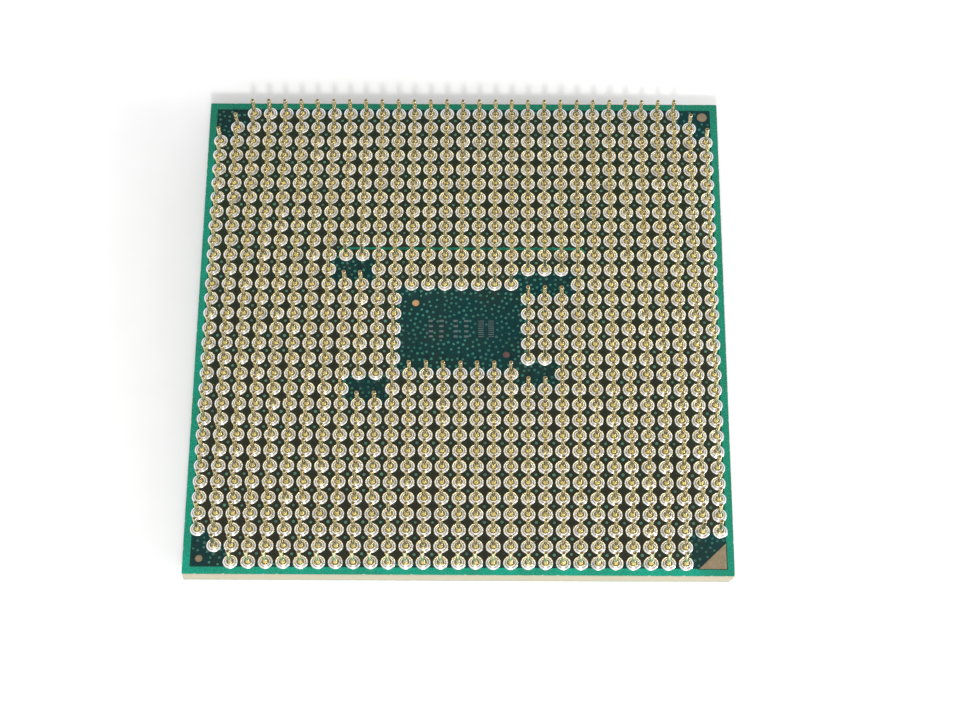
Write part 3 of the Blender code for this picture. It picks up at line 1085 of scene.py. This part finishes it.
def make_capacitor(node, ceramic, tin):
    """A ceramic block between two plated ends, along the longer side of its CAD node."""
    low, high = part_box(node)
    size = high - low
    middle = (low + high) / 2
    lengthwise = size.x > size.y
    length = max(size.x, size.y)
    width = min(size.x, size.y)
    terminal = 0.3 * MM
    step = 0.03 * MM
    body_edge = 0.03 * MM
    terminal_edge = 0.06 * MM
    body = block_mesh(length - terminal, width - 2 * step, size.z - 2 * step)
    bevel(body, list(body.edges), body_edge, segments=3)
    piece = from_bmesh("chip_" + node, placed(body, z=step))
    for side in (-1, 1):
        end = block_mesh(terminal, width, size.z)
        bevel(end, list(end.edges), terminal_edge, segments=4)
        tool = from_bmesh("end", placed(end, x=side * (length - terminal) / 2))
        combine(piece, [tool], "UNION")
    inner = length / 2 - terminal + MICRON
    for polygon in piece.data.polygons:
        polygon.material_index = 0 if abs(polygon.center.x) < inner else 1
    turn = Matrix.Identity(4) if lengthwise else Matrix.Rotation(math.pi / 2, 4, "Z")
    piece.data.transform(Matrix.Translation((middle.x, middle.y, low.z)) @ turn)
    smooth(piece, 40)
    finished(piece, "capacitor", ceramic, tin, replaces=[node])


def finish_cad_nodes(looks):
    """Gives the CAD nodes that stay visible their own materials."""
    for node, material in looks.items():
        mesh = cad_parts[node].data
        mesh.materials.clear()
        mesh.materials.append(material)


# ---------------------------------------------------------------- stage


def make_floor():
    look = Look("paper")
    fibre = look.noise(2.0 * MM, 4.0)
    look.colour(look.blend(fibre, (0.90, 0.90, 0.90), (0.93, 0.93, 0.93)))
    look.rough_by(fibre, 0.75, 0.9)
    bm = bmesh.new()
    bmesh.ops.create_grid(bm, x_segments=1, y_segments=1, size=FLOOR_HALF)
    floor = from_bmesh("floor", bm)
    floor.data.materials.append(look.material)


def make_world():
    """Bright surroundings and a dark ceiling, whose middle leans to the far side."""
    world = bpy.data.worlds.new("studio")
    bpy.context.scene.world = world
    world.use_nodes = True
    tree = world.node_tree
    background = tree.nodes["Background"]
    background.inputs["Color"].default_value = (1.0, 1.0, 1.0, 1.0)
    where = tree.nodes.new("ShaderNodeTexCoord")
    towards = tree.nodes.new("ShaderNodeVectorMath")
    towards.operation = "DOT_PRODUCT"
    towards.inputs[1].default_value = (0.0, math.sin(CEILING_TILT), math.cos(CEILING_TILT))
    fade = tree.nodes.new("ShaderNodeMapRange")
    fade.interpolation_type = "SMOOTHSTEP"
    fade.inputs["From Min"].default_value = CEILING_EDGE[0]
    fade.inputs["From Max"].default_value = CEILING_EDGE[1]
    fade.inputs["To Min"].default_value = SURROUNDINGS
    fade.inputs["To Max"].default_value = CEILING
    tree.links.new(where.outputs["Generated"], towards.inputs[0])
    tree.links.new(towards.outputs["Value"], fade.inputs["Value"])
    tree.links.new(fade.outputs[0], background.inputs["Strength"])


def add_light(name, place, size, power, seen_in_gloss=True):
    """A round lamp of `size` metres and `power` watts, aimed at the origin."""
    light = bpy.data.lights.new(name, "AREA")
    light.shape = "DISK"
    light.size = size
    light.energy = power
    obj = bpy.data.objects.new(name, light)
    bpy.context.scene.collection.objects.link(obj)
    obj.location = place
    obj.rotation_euler = (-Vector(place)).to_track_quat("-Z", "Y").to_euler()
    obj.visible_glossy = seen_in_gloss


def make_lights():
    """A small key that draws the shadows, a broad one for the highlights, and a fill."""
    add_light("key", MAIN_LIGHT_PLACE, size=16 * MM, power=0.17, seen_in_gloss=False)
    add_light("broad", MAIN_LIGHT_PLACE, size=80 * MM, power=0.05)
    add_light("fill", FILL_LIGHT_PLACE, size=90 * MM, power=0.26)


def make_camera():
    data = bpy.data.cameras.new("camera")
    data.lens = LENS
    data.sensor_width = SENSOR
    data.clip_start = 0.005
    data.clip_end = 20.0
    camera = bpy.data.objects.new("camera", data)
    bpy.context.scene.collection.objects.link(camera)
    camera.location = CAMERA_PLACE
    camera.rotation_euler = [math.radians(angle) for angle in CAMERA_TURN]
    bpy.context.scene.camera = camera


# ---------------------------------------------------------------- the whole part


def main():
    make_camera()
    make_world()
    make_lights()
    make_floor()
    gold = gold_look()
    pin_end = pin_end_look()
    solder = solder_look()
    for node in PIN_NODES:
        make_pin_row(node, gold, pin_end)
        make_joint_row(node, solder)
    over_copper = mask_over_copper_look()
    over_laminate = mask_over_laminate_look()
    make_core(laminate_look())
    make_lid_side_mask(over_laminate)
    make_pin_side_mask(over_copper, over_laminate)
    make_painted_shade_film(shade_and_reflection_look())
    make_mark_rims(rim_look())
    between, loose = vent_dots()
    greyer = vent_dot_look(
        "mask_in_holes_between_pads", (0.075, 0.225, 0.160), (0.038, 0.110, 0.085)
    )
    make_vent_dots("vent_dots_between_pads", between, greyer)
    greener = vent_dot_look(
        "mask_in_holes_in_gaps", (0.036, 0.180, 0.135), (0.022, 0.085, 0.068)
    )
    make_vent_dots("vent_dots_in_gaps", loose, greener)
    make_plane_slot(slot_look())
    make_ink_marks(ink_look())
    make_lid(nickel_look())
    make_seal(sealant_look())
    make_underfill(underfill_look())
    ceramic = ceramic_look()
    tin = terminal_look()
    for node in CAPACITOR_NODES:
        make_capacitor(node, ceramic, tin)
    bare = bare_mark_look(
        "bare_mark", (0.22, 0.17, 0.10), (0.31, 0.25, 0.165), (0.27, 0.19, 0.115)
    )
    shown = {node: bare for node in MARK_NODES}
    shown["fiducial_centre_left"] = bare_mark_look(
        "bright_mark", (0.48, 0.28, 0.13), (0.60, 0.38, 0.20), (0.42, 0.24, 0.11)
    )
    shown["fiducial_centre_right"] = bare_mark_look(
        "dull_mark", (0.12, 0.075, 0.065), (0.18, 0.115, 0.10), (0.10, 0.07, 0.06)
    )
    shown["silicon_die"] = silicon_look()
    shown["thermal_interface"] = thermal_solder_look()
    finish_cad_nodes(shown)


main()
bpy.context.scene.view_settings.view_transform = "Standard"
